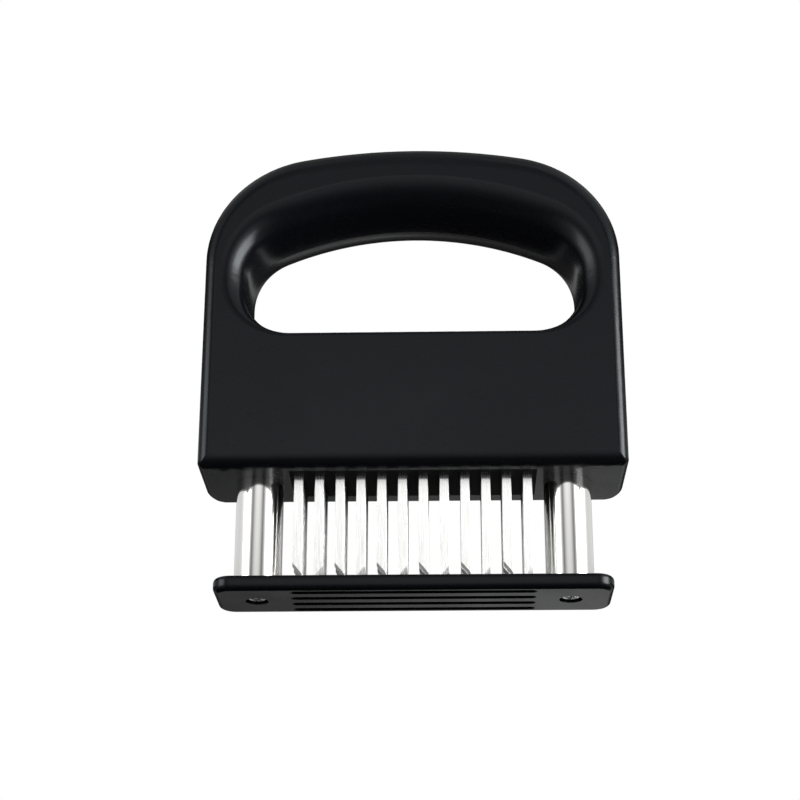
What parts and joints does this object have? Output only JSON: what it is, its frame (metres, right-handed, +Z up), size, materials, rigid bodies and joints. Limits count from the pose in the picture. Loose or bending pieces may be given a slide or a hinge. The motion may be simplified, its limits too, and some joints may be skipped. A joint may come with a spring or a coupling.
{
  "type": "blade meat tenderizer",
  "caption": "Hand press with a D-shaped grip, rows of thin slant-tipped blades and a spring-loaded slotted guard plate on two round guide posts.",
  "frame": {"origin": "centre of the guard plate's underside, on the surface that the tool stands on, with the guard at rest", "axes": "+Z up through the grip, X along the grip and the blade rows, -Y out of the front of the casing"},
  "size_m": [0.1082, 0.0296, 0.1249],
  "materials": {
    "case_plastic": "satin black moulded plastic",
    "guard_plastic": "satin black moulded plastic",
    "holder_plastic": "matt black moulded plastic",
    "bush_plastic": "black acetal",
    "blade_steel": "bright stainless strip with ground tips",
    "post_steel": "polished",
    "spring_steel": "drawn wire",
    "screw_steel": "bright zinc"
  },
  "bodies": {
    "handle": {"front_shell": "case_plastic", "rear_shell": "case_plastic", "case_screws": "screw_steel", "blade_holder": "holder_plastic", "holder_cap": "holder_plastic", "holder_screws": "screw_steel", "blade_row_1": "blade_steel", "blade_row_2": "blade_steel", "blade_row_3": "blade_steel", "blade_row_4": "blade_steel", "left_bush": "bush_plastic", "right_bush": "bush_plastic", "left_spring_peg": "bush_plastic", "right_spring_peg": "bush_plastic", "left_spring": "spring_steel", "right_spring": "spring_steel"},
    "guard": {"guard_plate": "guard_plastic", "left_post": "post_steel", "right_post": "post_steel", "left_stop_ring": "screw_steel", "right_stop_ring": "screw_steel", "left_post_plug": "screw_steel", "right_post_plug": "screw_steel", "left_guard_screw": "screw_steel", "right_guard_screw": "screw_steel"}
  },
  "joints": [
    {"name": "guard_slide", "type": "slide", "parent": "handle", "child": "guard", "axis": [0, 0, 1], "range_m": [0, 0.024], "stiffness_N_per_m": 600, "springref_m": -0.012, "deforming": ["left_spring", "right_spring"]}
  ]
}
